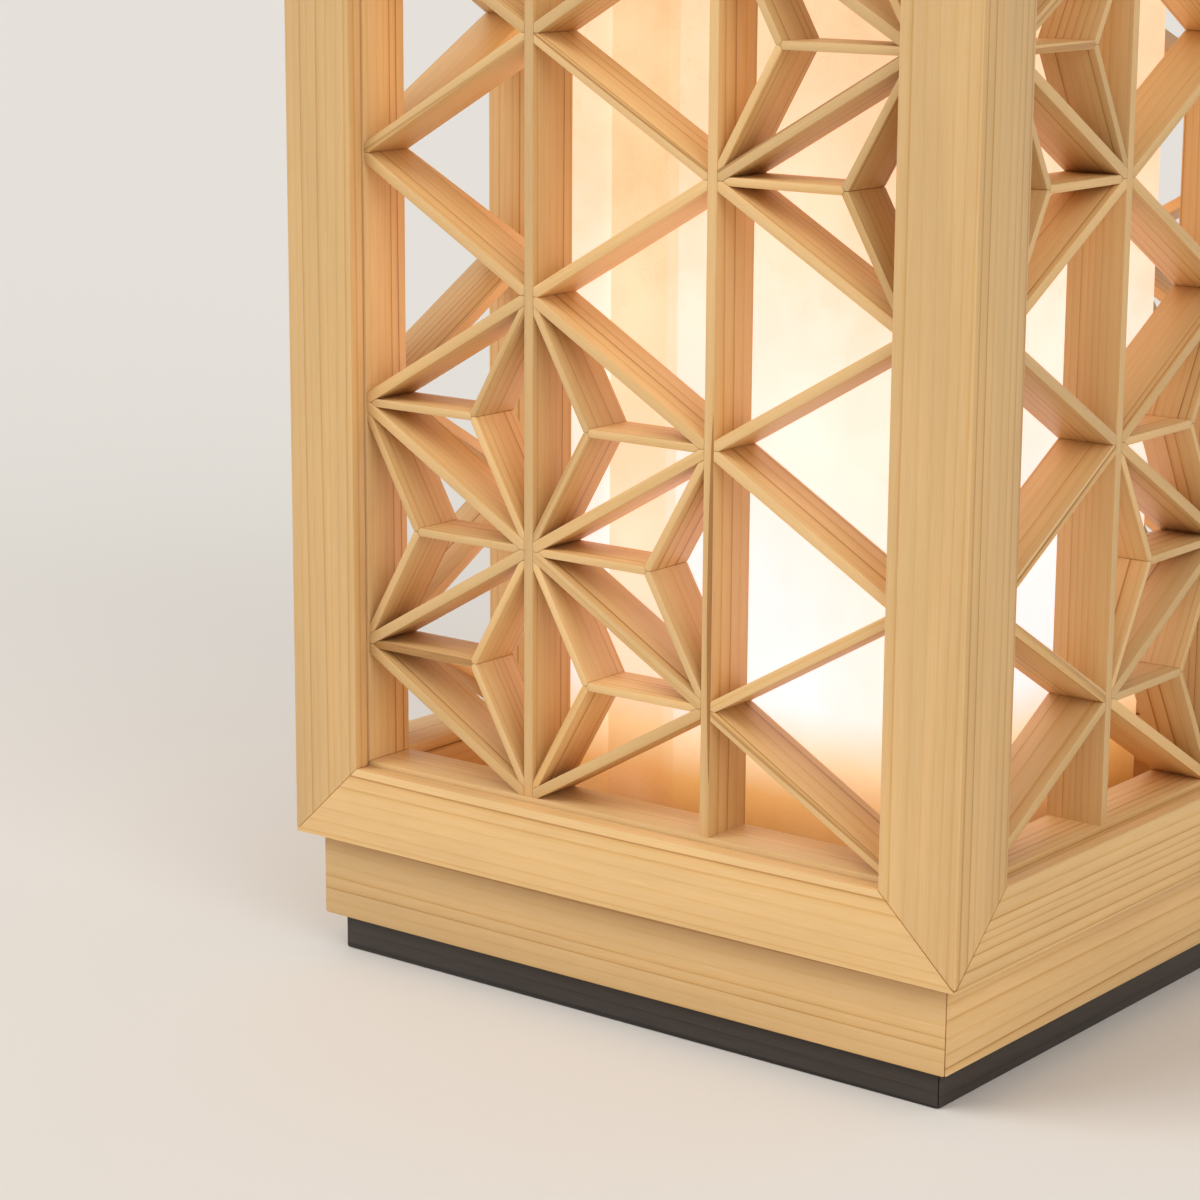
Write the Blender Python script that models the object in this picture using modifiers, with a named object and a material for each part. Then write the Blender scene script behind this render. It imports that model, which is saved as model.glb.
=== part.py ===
"""Kumiko table lamp: a square mitred lantern with asanoha lattice panels, over a washi shade on a low plinth.

Run with: blender --background --python part.py. Lengths are metres, +Z is up, and the origin is the middle
of the underside. The front panel faces -Y.
"""

import math

import bmesh
import bpy
from mathutils import Matrix, Vector

# Lantern frame: the posts are a little wider than the square rails
FRAME_WIDTH = 0.150
POST_WIDTH = 0.0158
RAIL_WIDTH = 0.015

# Lattice panels: triangles stand on upright strips, three strips wide
LATTICE_DEPTH = 0.0112
GRID_THICKNESS = 0.0020
LEAF_THICKNESS = 0.0015
LATTICE_COLUMNS = 3
LATTICE_PITCHES = 6
STAR_CENTRES = ((1, -2), (1, 2), (3, 0))  # grid column, pitches above mid-height
EDGE_STRIP_THICKNESS = 0.0020
EDGE_STRIP_PROUD = 0.0010  # of a level strip, above its rail
SIDE_STRIP_PROUD = 0.0002  # of an upright strip, which is all but flush with its post

# Base
PLINTH_INSET = 0.00375
PLINTH_HEIGHT = 0.0164
PLINTH_THICKNESS = 0.012
FOOT_INSET = 0.0029
FOOT_HEIGHT = 0.007
FOOT_WIDTH = 0.014
BASE_BOARD_THICKNESS = 0.004
CORNER_BLOCK_RISE = 0.007
CORNER_BLOCK_CHAMFER = 0.0012

# Washi shade: one stiff sheet folded into a square tube, its ends lapped on the front side
SHADE_GAP = 0.017
SHADE_SHEET = 0.0006
SHADE_TOP_DROP = 0.008
SHADE_SEAM_OFFSET = 0.0196
SHADE_SEAM_LAP = 0.0156
SHADE_SEAM_JOG = 0.0015
SHADE_RING_WIDTH = 0.004
SHADE_RING_HEIGHT = 0.005
SHADE_SEAT_LEDGE = 0.002
SHADE_SEAT_WALL = 0.006
SHADE_SEAT_HEIGHT = 0.0074
SHADE_SEAT_RIM = 0.008

# Lamp holder and its fixing
HOLDER_RADIUS = 0.013
HOLDER_FLANGE_RADIUS = 0.015
HOLDER_FLANGE_HEIGHT = 0.004
HOLDER_HEIGHT = 0.026
HOLDER_FLOOR = 0.004
HOLDER_CHAMFER = 0.001
SHELL_WALL = 0.0005
SHELL_END_GAP = 0.002
CONTACT_RADIUS = 0.003
CONTACT_THICKNESS = 0.0008
BRACKET_THICKNESS = 0.0015
BRACKET_WIDTH = 0.014
SCREW_RADIUS = 0.0013
SCREW_LENGTH = 0.0055
SCREW_HEAD_RADIUS = 0.0028
SCREW_HEAD_HEIGHT = 0.0018
SCREW_HEAD_CROWN = 0.7  # flat top of the head, as a share of its radius
SCREW_FLANGE_GAP = 0.0007

# Bulb with a 17 mm screw cap
CAP_RADIUS = 0.0082
CAP_HEIGHT = 0.017
CAP_WALL = 0.0011
CAP_TIP_RADIUS = 0.003
CAP_TIP_HEIGHT = 0.0015
CAP_TAPER = 0.0025
BULB_RADIUS = 0.0175
BULB_HEIGHT = 0.043
BULB_NECK_DEPTH = 0.010
BULB_GLASS = 0.0008
BULB_DOME_DEGREES = 120  # how far the round of the bulb runs down from its crown
BULB_DOME_STEPS = 12
BULB_FLANK_STEPS = 8

# Cord inlet through the back of the plinth
INLET_BORE = 0.006
GROMMET_WALL = 0.0008
GROMMET_FLANGE = 0.0012
GROMMET_FLANGE_THICKNESS = 0.0012

CLEARANCE = 0.0003
ROUND_STEPS = 32
WELD = 1e-6

SIDES = ("front", "right", "back", "left")
CORNERS = ("front_right", "back_right", "back_left", "front_left")
QUARTER = math.pi / 2
MITRE_BACK = CLEARANCE / math.sqrt(2)  # how far each piece stops short of a 45 degree joint plane

# Plan sizes, as half widths from the lamp's axis
frame_half = FRAME_WIDTH / 2
opening_half = frame_half - RAIL_WIDTH
post_lip = frame_half - POST_WIDTH
strip_inner = post_lip - SIDE_STRIP_PROUD
strip_outer = strip_inner + EDGE_STRIP_THICKNESS
rebate_half = strip_outer + CLEARANCE
lattice_front = opening_half + LATTICE_DEPTH
lip_back = lattice_front + CLEARANCE
grid_half = strip_inner + GRID_THICKNESS / 2  # the upright edge strips stand where the grid's outer lines run
column_width = 2 * grid_half / LATTICE_COLUMNS
pitch = column_width / math.cos(math.radians(30))
plinth_half = frame_half - PLINTH_INSET
plinth_inner = plinth_half - PLINTH_THICKNESS
foot_half = plinth_half - FOOT_INSET
board_half = plinth_inner - CLEARANCE
shade_half = opening_half - SHADE_GAP
shade_lap = SHADE_SHEET + CLEARANCE  # how far the seam's inner layer stands inside the outer one
shade_clear = shade_half - SHADE_SHEET - shade_lap - CLEARANCE
seat_half = shade_half + SHADE_SEAT_LEDGE
seat_inner = shade_clear - SHADE_SEAT_WALL

# Heights
panel_half_height = LATTICE_PITCHES * pitch / 2
lip_half_height = panel_half_height + EDGE_STRIP_PROUD
frame_half_height = lip_half_height + RAIL_WIDTH
plinth_bottom = FOOT_HEIGHT + CLEARANCE
plinth_top = plinth_bottom + PLINTH_HEIGHT
frame_bottom = plinth_top + CLEARANCE
frame_middle = frame_bottom + frame_half_height
frame_top = frame_middle + frame_half_height
board_top = plinth_bottom + BASE_BOARD_THICKNESS
on_board = board_top + CLEARANCE
ledge_top = on_board + SHADE_SEAT_HEIGHT
shade_bottom = ledge_top + CLEARANCE
shade_top = frame_top - SHADE_TOP_DROP
holder_bottom = on_board + BRACKET_THICKNESS + CLEARANCE
holder_top = holder_bottom + HOLDER_HEIGHT
holder_floor = holder_bottom + HOLDER_FLOOR
contact_bottom = holder_floor + CLEARANCE
cap_bottom = contact_bottom + CONTACT_THICKNESS + CLEARANCE
cap_top = cap_bottom + CAP_HEIGHT
shell_inner = CAP_RADIUS + CLEARANCE
shell_outer = shell_inner + SHELL_WALL
holder_bore = shell_outer + CLEARANCE
screw_hole = SCREW_RADIUS + CLEARANCE
screw_place = HOLDER_FLANGE_RADIUS + SCREW_FLANGE_GAP + SCREW_HEAD_RADIUS
grommet_outer = INLET_BORE / 2 + GROMMET_WALL
inlet_hole = grommet_outer + CLEARANCE
inlet_height = (on_board + plinth_top) / 2


def clear_scene():
    for old in list(bpy.data.objects):
        bpy.data.objects.remove(old, do_unlink=True)


def new_collection(name):
    collection = bpy.data.collections.new(name)
    bpy.context.scene.collection.children.link(collection)
    return collection


def finish(name, colour, roughness, metallic=0.0):
    material = bpy.data.materials.new(name)
    material.use_nodes = True
    shader = material.node_tree.nodes["Principled BSDF"]
    shader.inputs["Base Color"].default_value = (*colour, 1.0)
    shader.inputs["Roughness"].default_value = roughness
    shader.inputs["Metallic"].default_value = metallic
    material.diffuse_color = (*colour, 1.0)
    return material


def place(name, mesh, group, material, turn=(0.0, 0.0, 0.0), at=(0.0, 0.0, 0.0)):
    """One part of the lamp, placed in its group's own frame."""
    if not mesh.materials:
        mesh.materials.append(material)
    part = bpy.data.objects.new(name, mesh)
    part.parent = group
    part.rotation_euler = turn
    part.location = at
    lamp.objects.link(part)
    return part


def new_group(name, height):
    group = bpy.data.objects.new(name, None)
    group.empty_display_size = POST_WIDTH
    group.location = (0, 0, height)
    lamp.objects.link(group)
    return group


def new_cutter(name, mesh):
    cutter = bpy.data.objects.new(name, mesh)
    cutter.hide_render = True
    cutter.display_type = "WIRE"
    cutters.objects.link(cutter)
    return cutter


def evaluated_mesh(helper):
    """The helper's mesh with its curve fill or modifiers applied, welded; the helper itself is removed."""
    bpy.context.view_layer.update()
    graph = bpy.context.evaluated_depsgraph_get()
    mesh = bpy.data.meshes.new_from_object(helper.evaluated_get(graph))
    bpy.data.objects.remove(helper, do_unlink=True)
    form = bmesh.new()
    form.from_mesh(mesh)
    bmesh.ops.remove_doubles(form, verts=form.verts, dist=WELD)
    bmesh.ops.recalc_face_normals(form, faces=form.faces)
    form.to_mesh(mesh)
    form.free()
    return mesh


def flat_outline(name, outlines, thickness, bottom=0.0):
    """A flat piece: closed outlines in XY, any inside another being its holes, extruded up from bottom."""
    curve = bpy.data.curves.new(name, "CURVE")
    curve.dimensions = "2D"
    curve.fill_mode = "BOTH"
    curve.extrude = thickness / 2
    for outline in outlines:
        spline = curve.splines.new("POLY")
        spline.points.add(len(outline) - 1)
        for point, (x, y) in zip(spline.points, outline):
            point.co = (x, y, 0, 1)
        spline.use_cyclic_u = True
    helper = bpy.data.objects.new(name, curve)
    cutters.objects.link(helper)
    mesh = evaluated_mesh(helper)
    mesh.transform(Matrix.Translation((0, 0, bottom + thickness / 2)))
    return mesh


def box_form(low, high):
    form = bmesh.new()
    bmesh.ops.create_cube(form, size=1)
    size = Vector(high) - Vector(low)
    bmesh.ops.scale(form, vec=size, verts=form.verts)
    bmesh.ops.translate(form, vec=Vector(low) + size / 2, verts=form.verts)
    return form


def to_mesh(form, name):
    mesh = bpy.data.meshes.new(name)
    bmesh.ops.recalc_face_normals(form, faces=form.faces)
    form.to_mesh(mesh)
    form.free()
    return mesh


def cut_away(form, point, normal):
    """Removes what lies beyond the plane, on the side its normal points to, and closes the cut."""
    everything = form.verts[:] + form.edges[:] + form.faces[:]
    bmesh.ops.bisect_plane(form, geom=everything, plane_co=point, plane_no=normal, clear_outer=True)
    rim = [edge for edge in form.edges if edge.is_boundary]
    bmesh.ops.holes_fill(form, edges=rim, sides=0)


def cut_short(form, point, normal):
    """Cuts at a mitre's joint plane, short of it by half the joint's clearance."""
    back = Vector(normal).normalized() * CLEARANCE / 2
    cut_away(form, Vector(point) - back, normal)


def turned(name, profile, group, material, closed=False, steps=ROUND_STEPS, turn=(0, 0, 0), at=(0, 0, 0)):
    """A turned piece. The profile holds (radius, height) points, outer side from top to bottom."""
    points = [(radius, 0, height) for radius, height in profile]
    edges = [(i, i + 1) for i in range(len(points) - 1)]
    if closed:
        edges.append((len(points) - 1, 0))
    mesh = bpy.data.meshes.new(name)
    mesh.from_pydata(points, edges, [])
    part = place(name, mesh, group, material, turn, at)
    screw = part.modifiers.new("Turn", "SCREW")
    screw.steps = steps
    screw.render_steps = steps
    screw.use_merge_vertices = True
    screw.merge_threshold = WELD
    screw.use_smooth_shade = steps == ROUND_STEPS
    return part


def square_turned(name, profile, group, material):
    """A square ring: its profile holds (half width, height) points and is turned in four steps."""
    diagonal = [(half * math.sqrt(2), height) for half, height in profile]
    return turned(name, diagonal, group, material, closed=True, steps=4, turn=(0, 0, QUARTER / 2))


def circle(centre_x, centre_y, radius, steps=ROUND_STEPS):
    angles = [2 * math.pi * i / steps for i in range(steps)]
    return [(centre_x + radius * math.cos(a), centre_y + radius * math.sin(a)) for a in angles]


def boolean(part, cutter, operation="DIFFERENCE"):
    modifier = part.modifiers.new(cutter.name, "BOOLEAN")
    modifier.operation = operation
    modifier.solver = "EXACT"
    modifier.object = cutter


def post_mesh():
    """Front right post: rebated for both its panels, with a three-way mitre at each end."""
    section = [
        (frame_half, -frame_half),
        (frame_half, -post_lip),
        (lip_back, -post_lip),
        (lip_back, -rebate_half),
        (rebate_half, -rebate_half),
        (rebate_half, -lip_back),
        (post_lip, -lip_back),
        (post_lip, -frame_half),
    ]
    mesh = flat_outline("post", [section], 2 * frame_half_height, -frame_half_height)
    form = bmesh.new()
    form.from_mesh(mesh)
    for end in (-1, 1):
        corner = (frame_half, -frame_half, end * frame_half_height)
        cut_short(form, corner, (-RAIL_WIDTH, 0, end * POST_WIDTH))
        cut_short(form, corner, (0, RAIL_WIDTH, end * POST_WIDTH))
    bpy.data.meshes.remove(mesh)
    return to_mesh(form, "post")


def rail_mesh():
    """Front bottom rail: rebated along its upper back edge, with a three-way mitre at each end."""
    top = -lip_half_height
    bottom = -frame_half_height
    rebate_floor = -panel_half_height - EDGE_STRIP_THICKNESS - CLEARANCE
    section = [
        (-frame_half, bottom),
        (-opening_half, bottom),
        (-opening_half, rebate_floor),
        (-lip_back, rebate_floor),
        (-lip_back, top),
        (-frame_half, top),
    ]
    mesh = flat_outline("rail", [section], FRAME_WIDTH, -frame_half)
    # The section's (y, z) lies in the outline's XY plane, and the extrusion becomes the length along X.
    mesh.transform(Matrix(((0, 0, 1, 0), (1, 0, 0, 0), (0, 1, 0, 0), (0, 0, 0, 1))))
    form = bmesh.new()
    form.from_mesh(mesh)
    for end in (-1, 1):
        corner = (end * frame_half, -frame_half, bottom)
        cut_short(form, corner, (end * RAIL_WIDTH, 0, POST_WIDTH))
        cut_short(form, corner, (end, 1, 0))
    bpy.data.meshes.remove(mesh)
    return to_mesh(form, "rail")


def edge_strip_meshes():
    """Right and bottom edge strips of the front panel, mitred together and clear of the next panel's."""
    high = panel_half_height + EDGE_STRIP_THICKNESS
    upright = box_form((strip_inner, -lattice_front, -high), (strip_outer, -opening_half, high))
    cut_short(upright, (0, 0, 0), (1, 1, 0))
    for end in (-1, 1):
        cut_short(upright, (strip_inner, 0, end * panel_half_height), (-1, 0, end))
    level_top = -panel_half_height
    level = box_form((-strip_outer, -lattice_front, -high), (strip_outer, -opening_half, level_top))
    for end in (-1, 1):
        cut_short(level, (0, 0, 0), (end, 1, 0))
        cut_short(level, (end * strip_inner, 0, level_top), (end, 0, 1))
    return to_mesh(upright, "edge_strip_upright"), to_mesh(level, "edge_strip_level")


def grid_node(column, half_pitches):
    return Vector((column * column_width - grid_half, half_pitches * pitch / 2))


def lattice_triangles():
    """Each triangle that shows in a panel, as three (column, half pitches) grid nodes, anticlockwise."""
    top = LATTICE_PITCHES
    triangles = []
    for column in range(LATTICE_COLUMNS):
        for height in range(-top - 1, top):
            if (height + top + column) % 2:
                # The left side stands on this column, between two of its nodes.
                triangles.append(((column, height), (column + 1, height + 1), (column, height + 2)))
            else:
                triangles.append(((column + 1, height), (column + 1, height + 2), (column, height + 1)))
    return triangles


def inset(corners, margins):
    """A convex outline moved inwards, side by side; side i runs from corner i to the next one."""
    count = len(corners)
    lines = []
    for i, margin in enumerate(margins):
        along = (corners[(i + 1) % count] - corners[i]).normalized()
        lines.append((corners[i] + Vector((-along.y, along.x)) * margin, along))
    moved = []
    for i in range(count):
        (start, along), (other, across) = lines[i - 1], lines[i]
        gap = other - start
        reach = (gap.x * across.y - gap.y * across.x) / (along.x * across.y - along.y * across.x)
        moved.append(start + along * reach)
    return moved


def lattice_cells():
    """Outlines of a panel's holes: open triangles, and three slim ones in each triangle that holds leaves."""
    stars = {(column, 2 * pitches) for column, pitches in STAR_CENTRES}
    cells = []
    for nodes in lattice_triangles():
        corners = [grid_node(*node) for node in nodes]
        margins = []
        for i in range(3):
            ends = {nodes[i][0], nodes[(i + 1) % 3][0]}
            at_edge = ends in ({0}, {LATTICE_COLUMNS})
            # Along a panel's edge the edge strip takes the grid member's place, so the cell runs out.
            margins.append(-EDGE_STRIP_THICKNESS if at_edge else GRID_THICKNESS / 2)
        if stars.isdisjoint(nodes):
            cells.append(inset(corners, margins))
            continue
        hub = (corners[0] + corners[1] + corners[2]) / 3
        for i in range(3):
            slim = [corners[i], corners[(i + 1) % 3], hub]
            cells.append(inset(slim, [margins[i], LEAF_THICKNESS / 2, LEAF_THICKNESS / 2]))
    return cells


def lattice_mesh():
    """The front panel's lattice, which also serves the back, and turned upside down the two other sides."""
    half_width = strip_inner - CLEARANCE
    half_height = panel_half_height - CLEARANCE
    far_corner = Vector((half_width, half_height, LATTICE_DEPTH / 2))
    form = box_form(-far_corner, far_corner)
    blank = bpy.data.objects.new("lattice_blank", to_mesh(form, "lattice_blank"))
    cutters.objects.link(blank)
    holes = flat_outline("lattice_holes", lattice_cells(), 2 * LATTICE_DEPTH, -LATTICE_DEPTH)
    cutter = new_cutter("lattice_holes", holes)
    boolean(blank, cutter)
    mesh = evaluated_mesh(blank)
    bpy.data.objects.remove(cutter, do_unlink=True)
    upright = Matrix.Rotation(QUARTER, 4, "X")
    mesh.transform(Matrix.Translation((0, LATTICE_DEPTH / 2 - lattice_front, 0)) @ upright)
    return mesh


def build_lantern(group):
    post = post_mesh()
    rail = rail_mesh()
    upright, level = edge_strip_meshes()
    lattice = lattice_mesh()
    over = math.pi  # half a turn about Y brings a bottom piece to the top, and a right one to the left
    for i, (side, corner) in enumerate(zip(SIDES, CORNERS)):
        turn = i * QUARTER
        place(f"post_{corner}", post, group, frame_wood, (0, 0, turn))
        place(f"bottom_rail_{side}", rail, group, frame_wood, (0, 0, turn))
        place(f"top_rail_{side}", rail, group, frame_wood, (0, over, turn))
        place(f"{side}_edge_strip_right", upright, group, lattice_wood, (0, 0, turn))
        place(f"{side}_edge_strip_left", upright, group, lattice_wood, (0, over, turn))
        place(f"{side}_edge_strip_bottom", level, group, lattice_wood, (0, 0, turn))
        place(f"{side}_edge_strip_top", level, group, lattice_wood, (0, over, turn))
        place(f"lattice_{side}", lattice, group, lattice_wood, (0, over * (i % 2), turn))


def mitred_board(name, half, width, height, bottom):
    """The front board of a square frame of boards, with mitred ends."""
    inner = half - width
    outline = [
        (MITRE_BACK - half, -half),
        (half - MITRE_BACK, -half),
        (inner - MITRE_BACK, -inner),
        (MITRE_BACK - inner, -inner),
    ]
    return flat_outline(name, [outline], height, bottom)


def build_plinth(group):
    plinth = mitred_board("plinth", plinth_half, PLINTH_THICKNESS, PLINTH_HEIGHT, plinth_bottom)
    foot = mitred_board("foot", foot_half, FOOT_WIDTH, FOOT_HEIGHT, 0)
    block_outer = min(plinth_inner, opening_half) - CLEARANCE
    block_inner = seat_half + CLEARANCE
    block_top = frame_bottom + CORNER_BLOCK_RISE
    block_form = box_form((block_inner, -block_outer, on_board), (block_outer, -block_inner, block_top))
    block = to_mesh(block_form, "corner_block")
    for i, (side, corner) in enumerate(zip(SIDES, CORNERS)):
        turn = (0, 0, i * QUARTER)
        board = place(f"plinth_{side}", plinth, group, frame_wood, turn)
        place(f"foot_{side}", foot, group, stained_wood, turn)
        corner_block = place(f"corner_block_{corner}", block, group, board_wood, turn)
        chamfer = corner_block.modifiers.new("Chamfer", "BEVEL")
        chamfer.width = CORNER_BLOCK_CHAMFER
        chamfer.segments = 1
        if side == "back":
            drill_inlet(board)
    square = [(x * board_half, y * board_half) for x, y in ((-1, -1), (1, -1), (1, 1), (-1, 1))]
    pilots = [circle(sign * screw_place, 0, screw_hole, ROUND_STEPS // 2) for sign in (-1, 1)]
    base_board = flat_outline("base_board", [square] + pilots, BASE_BOARD_THICKNESS, plinth_bottom)
    place("base_board", base_board, group, board_wood)


def drill_inlet(board):
    form = bmesh.new()
    bmesh.ops.create_cone(
        form,
        cap_ends=True,
        segments=ROUND_STEPS,
        radius1=inlet_hole,
        radius2=inlet_hole,
        depth=3 * PLINTH_THICKNESS,
        matrix=Matrix.Translation((0, plinth_half, inlet_height)) @ Matrix.Rotation(QUARTER, 4, "X"),
    )
    boolean(board, new_cutter("inlet_drill", to_mesh(form, "inlet_drill")))


def build_inlet(group):
    """Cord grommet: a bush through the back of the plinth, flanged outside, with its axis along Y."""
    bore = INLET_BORE / 2
    flange = grommet_outer + GROMMET_FLANGE
    flange_back = -CLEARANCE
    flange_face = flange_back - GROMMET_FLANGE_THICKNESS
    profile = [
        (bore, PLINTH_THICKNESS),
        (grommet_outer, PLINTH_THICKNESS),
        (grommet_outer, flange_back),
        (flange, flange_back),
        (flange, flange_face),
        (bore, flange_face),
    ]
    # The profile's zero height lies on the plinth's outer face, and its height runs inwards.
    at = (0, plinth_half, inlet_height)
    turned("cord_grommet", profile, group, rubber, closed=True, turn=(QUARTER, 0, 0), at=at)


def build_shade_seat(group):
    rim_top = ledge_top + SHADE_SEAT_RIM
    profile = [
        (seat_inner, rim_top),
        (shade_clear, rim_top),
        (shade_clear, ledge_top),
        (seat_half, ledge_top),
        (seat_half, on_board),
        (seat_inner, on_board),
    ]
    seat = square_turned("shade_seat", profile, group, board_wood)
    slot = INLET_BORE + 2 * CLEARANCE
    slot_top = on_board + SHADE_SEAT_HEIGHT / 2
    form = box_form((-slot / 2, 0, on_board - slot), (slot / 2, 2 * seat_half, slot_top))
    boolean(seat, new_cutter("cord_slot", to_mesh(form, "cord_slot")))


def build_holder(group):
    reach = screw_place + SCREW_HEAD_RADIUS
    half = BRACKET_WIDTH / 2
    ends = ROUND_STEPS // 2
    rounded = []
    for sign in (1, -1):
        for i in range(ends + 1):
            angle = math.pi * i / ends - math.pi / 2
            x = reach - half + half * math.cos(angle)
            rounded.append((sign * x, sign * half * math.sin(angle)))
    holes = [circle(sign * screw_place, 0, screw_hole, ends) for sign in (-1, 1)]
    bracket = flat_outline("holder_bracket", [rounded] + holes, BRACKET_THICKNESS, on_board)
    place("holder_bracket", bracket, group, steel)

    head_bottom = holder_bottom
    head_top = head_bottom + SCREW_HEAD_HEIGHT
    screw_profile = [
        (0, head_top),
        (SCREW_HEAD_RADIUS * SCREW_HEAD_CROWN, head_top),
        (SCREW_HEAD_RADIUS, (head_bottom + head_top) / 2),
        (SCREW_HEAD_RADIUS, head_bottom),
        (SCREW_RADIUS, head_bottom),
        (SCREW_RADIUS, head_bottom - SCREW_LENGTH + SCREW_RADIUS),
        (0, head_bottom - SCREW_LENGTH),
    ]
    for side, sign in (("left", -1), ("right", 1)):
        turned(f"bracket_screw_{side}", screw_profile, group, steel, at=(sign * screw_place, 0, 0))

    flange_top = holder_bottom + HOLDER_FLANGE_HEIGHT
    holder_profile = [
        (0, holder_floor),
        (holder_bore, holder_floor),
        (holder_bore, holder_top),
        (HOLDER_RADIUS - HOLDER_CHAMFER, holder_top),
        (HOLDER_RADIUS, holder_top - HOLDER_CHAMFER),
        (HOLDER_RADIUS, flange_top),
        (HOLDER_FLANGE_RADIUS, flange_top),
        (HOLDER_FLANGE_RADIUS, holder_bottom),
        (0, holder_bottom),
    ]
    turned("lamp_holder", holder_profile, group, phenolic)

    shell_bottom = contact_bottom + SHELL_END_GAP
    shell_top = holder_top - SHELL_END_GAP
    shell_profile = [
        (shell_inner, shell_top),
        (shell_outer, shell_top),
        (shell_outer, shell_bottom),
        (shell_inner, shell_bottom),
    ]
    turned("screw_shell", shell_profile, group, brass, closed=True)
    contact_top = contact_bottom + CONTACT_THICKNESS
    contact_profile = [
        (0, contact_top),
        (CONTACT_RADIUS, contact_top),
        (CONTACT_RADIUS, contact_bottom),
        (0, contact_bottom),
    ]
    turned("centre_contact", contact_profile, group, brass)


def build_bulb(group):
    """Heights here are above the bottom tip of the cap, where the group's origin is."""
    inner = CAP_RADIUS - CAP_WALL
    shoulder = CAP_TIP_HEIGHT + CAP_TAPER
    floor = shoulder + CAP_WALL
    cap_profile = [
        (0, floor),
        (inner, floor),
        (inner, CAP_HEIGHT),
        (CAP_RADIUS, CAP_HEIGHT),
        (CAP_RADIUS, shoulder),
        (CAP_TIP_RADIUS, CAP_TIP_HEIGHT),
        (CAP_TIP_RADIUS, 0),
        (0, 0),
    ]
    turned("bulb_cap", cap_profile, group, brass)

    neck = inner - CLEARANCE
    middle = CAP_HEIGHT + BULB_HEIGHT - BULB_RADIUS
    profile = []
    for i in range(BULB_DOME_STEPS + 1):
        angle = QUARTER - math.radians(BULB_DOME_DEGREES) * i / BULB_DOME_STEPS
        profile.append((BULB_RADIUS * math.cos(angle), middle + BULB_RADIUS * math.sin(angle)))
    start_radius, start_height = profile[-1]
    end_height = CAP_HEIGHT + CAP_WALL
    for i in range(1, BULB_FLANK_STEPS + 1):
        share = i / BULB_FLANK_STEPS
        # The flank leaves the round with a slope and runs upright into the neck.
        radius = neck + (start_radius - neck) * (1 - share) ** 2
        profile.append((radius, start_height + (end_height - start_height) * share))
    profile.append((neck, CAP_HEIGHT - BULB_NECK_DEPTH))
    bulb = turned("bulb_glass", profile, group, glass)
    wall = bulb.modifiers.new("Wall", "SOLIDIFY")
    wall.thickness = BULB_GLASS
    wall.offset = -1


def ribbon(path, thickness):
    """Outline of a bent sheet of even thickness along a path of points, as mitred offsets to both sides."""
    points = [Vector(point) for point in path]
    sides = []
    for sign in (1, -1):
        side = []
        for i, point in enumerate(points):
            before = (points[i] - points[i - 1]).normalized() if i else None
            after = (points[i + 1] - points[i]).normalized() if i + 1 < len(points) else None
            before, after = before or after, after or before
            across = Vector((-before.y - after.y, before.x + after.x)).normalized()
            reach = thickness / 2 / across.dot(Vector((-after.y, after.x)))
            side.append(point + sign * reach * across)
        sides.append(side)
    return sides[0] + sides[1][::-1]


def build_shade(group):
    """Heights here are above the shade's lower edge."""
    height = shade_top - shade_bottom
    line = shade_half - SHADE_SHEET / 2
    flap = line - shade_lap
    outer_end = SHADE_SEAM_OFFSET - shade_half
    inner_end = outer_end + SHADE_SEAM_LAP
    path = [
        (inner_end, -flap),
        (outer_end - SHADE_SEAM_JOG, -flap),
        (outer_end - 2 * SHADE_SEAM_JOG, -line),
        (-line, -line),
        (-line, line),
        (line, line),
        (line, -line),
        (outer_end, -line),
    ]
    place("shade", flat_outline("shade", [ribbon(path, SHADE_SHEET)], height), group, washi)
    ring_inner = shade_clear - SHADE_RING_WIDTH
    ring_bottom = height - SHADE_RING_HEIGHT
    profile = [
        (ring_inner, height),
        (shade_clear, height),
        (shade_clear, ring_bottom),
        (ring_inner, ring_bottom),
    ]
    square_turned("shade_ring", profile, group, board_wood)


clear_scene()
lamp = new_collection("Kumiko table lamp")
cutters = new_collection("Cutters")

frame_wood = finish("Planed cypress frame", (0.74, 0.53, 0.33), 0.55)
lattice_wood = finish("Planed cypress lattice", (0.78, 0.58, 0.37), 0.55)
board_wood = finish("Sanded cypress board", (0.70, 0.50, 0.31), 0.65)
stained_wood = finish("Black stained wood", (0.022, 0.018, 0.015), 0.6)
washi = finish("Laminated washi", (0.86, 0.74, 0.56), 0.8)
phenolic = finish("Moulded phenolic", (0.03, 0.028, 0.026), 0.4)
brass = finish("Drawn brass", (0.75, 0.55, 0.25), 0.3, 1.0)
steel = finish("Zinc plated steel", (0.55, 0.55, 0.54), 0.35, 1.0)
glass = finish("Frosted glass", (0.95, 0.90, 0.80), 0.5)
rubber = finish("Moulded rubber", (0.03, 0.03, 0.03), 0.75)

base_group = new_group("base_origin", 0)
lantern_group = new_group("lantern_origin", frame_middle)
shade_group = new_group("shade_origin", shade_bottom)
bulb_group = new_group("bulb_origin", cap_bottom)

build_lantern(lantern_group)
build_plinth(base_group)
build_inlet(base_group)
build_shade_seat(base_group)
build_holder(base_group)
build_shade(shade_group)
build_bulb(bulb_group)
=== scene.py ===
import math
import random

import bpy
from mathutils import Euler, Matrix, Vector


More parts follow.
